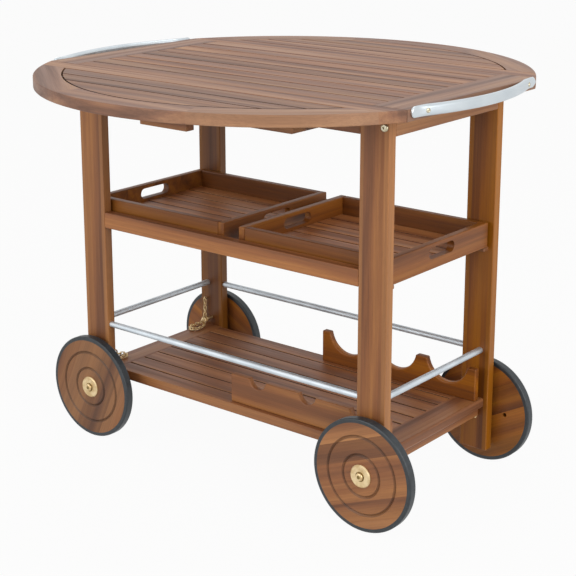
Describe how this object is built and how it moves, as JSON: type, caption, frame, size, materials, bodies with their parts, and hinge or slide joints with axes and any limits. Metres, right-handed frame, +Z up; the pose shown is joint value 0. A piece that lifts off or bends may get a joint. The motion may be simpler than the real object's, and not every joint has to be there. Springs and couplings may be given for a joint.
{
  "type": "bar cart",
  "caption": "Slatted wooden drop-leaf serving cart on tyred wooden wheels, with pull-out trays, shelf, bottle rack, aluminium rods and bowed handles.",
  "frame": {"origin": "centre of the cart's footprint on the floor", "axes": "+X towards the right-hand handle, +Y towards the back leaf, +Z up"},
  "size_m": [0.966, 0.98, 0.8042],
  "materials": {
    "table_wood": "oiled acacia slats",
    "frame_wood": "oiled acacia boards",
    "wheel_wood": "turned oiled acacia",
    "tyre": "matt dark rubber",
    "aluminium": "satin",
    "brass": "satin",
    "steel": "zinc plated"
  },
  "bodies": {
    "frame": {"leg_front_left": "frame_wood", "leg_front_right": "frame_wood", "leg_back_left": "frame_wood", "leg_back_right": "frame_wood", "apron_front": "frame_wood", "apron_back": "frame_wood", "aprons_end": "frame_wood", "leg_bolts": "steel", "tray_rail_front": "frame_wood", "tray_rail_back": "frame_wood", "tray_runners": "frame_wood", "top_ends": "table_wood", "top_slats": "table_wood", "hinges_fixed": "brass", "slide_floor": "frame_wood", "slide_bridge": "frame_wood", "handle_left": "aluminium", "handle_right": "aluminium", "handle_screws": "steel", "rods_long": "aluminium", "rods_end": "aluminium", "shelf_ends": "frame_wood", "shelf_slats": "frame_wood", "shelf_beams": "frame_wood", "rack_front_board": "frame_wood", "rack_back_board": "frame_wood", "axle_sets": "brass", "screw_eyes": "brass", "lock_chain_front": "brass", "lock_chain_back": "brass"},
    "leaf_front": {"leaf_front_rail": "table_wood", "leaf_front_rim": "table_wood", "leaf_front_slats": "table_wood", "leaf_front_stop": "table_wood", "leaf_front_hinges": "brass"},
    "slide_bar_front": {"slide_bar_front": "frame_wood"},
    "lock_pin_front": {"lock_pin_front": "brass"},
    "leaf_back": {"leaf_back_rail": "table_wood", "leaf_back_rim": "table_wood", "leaf_back_slats": "table_wood", "leaf_back_stop": "table_wood", "leaf_back_hinges": "brass"},
    "slide_bar_back": {"slide_bar_back": "frame_wood"},
    "lock_pin_back": {"lock_pin_back": "brass"},
    "tray_left": {"tray_left_frame": "frame_wood", "tray_left_floor": "frame_wood"},
    "tray_right": {"tray_right_frame": "frame_wood", "tray_right_floor": "frame_wood"},
    "wheel_front_right": {"wheel_front_right_disc": "wheel_wood", "wheel_front_right_tyre": "tyre", "wheel_front_right_cap": "brass"},
    "wheel_back_right": {"wheel_back_right_disc": "wheel_wood", "wheel_back_right_tyre": "tyre", "wheel_back_right_cap": "brass"},
    "wheel_front_left": {"wheel_front_left_disc": "wheel_wood", "wheel_front_left_tyre": "tyre", "wheel_front_left_cap": "brass"},
    "wheel_back_left": {"wheel_back_left_disc": "wheel_wood", "wheel_back_left_tyre": "tyre", "wheel_back_left_cap": "brass"}
  },
  "joints": [
    {"name": "wheel_front_right_spin", "type": "hinge", "parent": "frame", "child": "wheel_front_right", "pos_m": [0.35592, -0.209, 0.11], "axis": [0, 1, 0], "continuous": true},
    {"name": "wheel_back_right_spin", "type": "hinge", "parent": "frame", "child": "wheel_back_right", "pos_m": [0.35592, 0.209, 0.11], "axis": [0, 1, 0], "continuous": true},
    {"name": "wheel_front_left_spin", "type": "hinge", "parent": "frame", "child": "wheel_front_left", "pos_m": [-0.35592, -0.209, 0.11], "axis": [0, 1, 0], "continuous": true},
    {"name": "wheel_back_left_spin", "type": "hinge", "parent": "frame", "child": "wheel_back_left", "pos_m": [-0.35592, 0.209, 0.11], "axis": [0, 1, 0], "continuous": true},
    {"name": "leaf_front_fold", "type": "hinge", "parent": "frame", "child": "leaf_front", "pos_m": [0, -0.2156, 0.775], "axis": [-1, 0, 0], "range_deg": [-90, 0]},
    {"name": "slide_bar_front_pull", "type": "slide", "parent": "frame", "child": "slide_bar_front", "axis": [0, -1, 0], "range_m": [0, 0.1365]},
    {"name": "lock_pin_front_push", "type": "slide", "parent": "frame", "child": "lock_pin_front", "axis": [0, -1, 0], "range_m": [0, 0.0155], "deforming": ["lock_chain_front"]},
    {"name": "leaf_back_fold", "type": "hinge", "parent": "frame", "child": "leaf_back", "pos_m": [0, 0.2156, 0.775], "axis": [1, 0, 0], "range_deg": [-90, 0]},
    {"name": "slide_bar_back_pull", "type": "slide", "parent": "frame", "child": "slide_bar_back", "axis": [0, 1, 0], "range_m": [0, 0.1365]},
    {"name": "lock_pin_back_push", "type": "slide", "parent": "frame", "child": "lock_pin_back", "axis": [0, 1, 0], "range_m": [0, 0.0155], "deforming": ["lock_chain_back"]},
    {"name": "tray_left_pull", "type": "slide", "parent": "frame", "child": "tray_left", "axis": [-1, 0, 0], "range_m": [0, 0.37]},
    {"name": "tray_right_pull", "type": "slide", "parent": "frame", "child": "tray_right", "axis": [1, 0, 0], "range_m": [0, 0.37]}
  ]
}
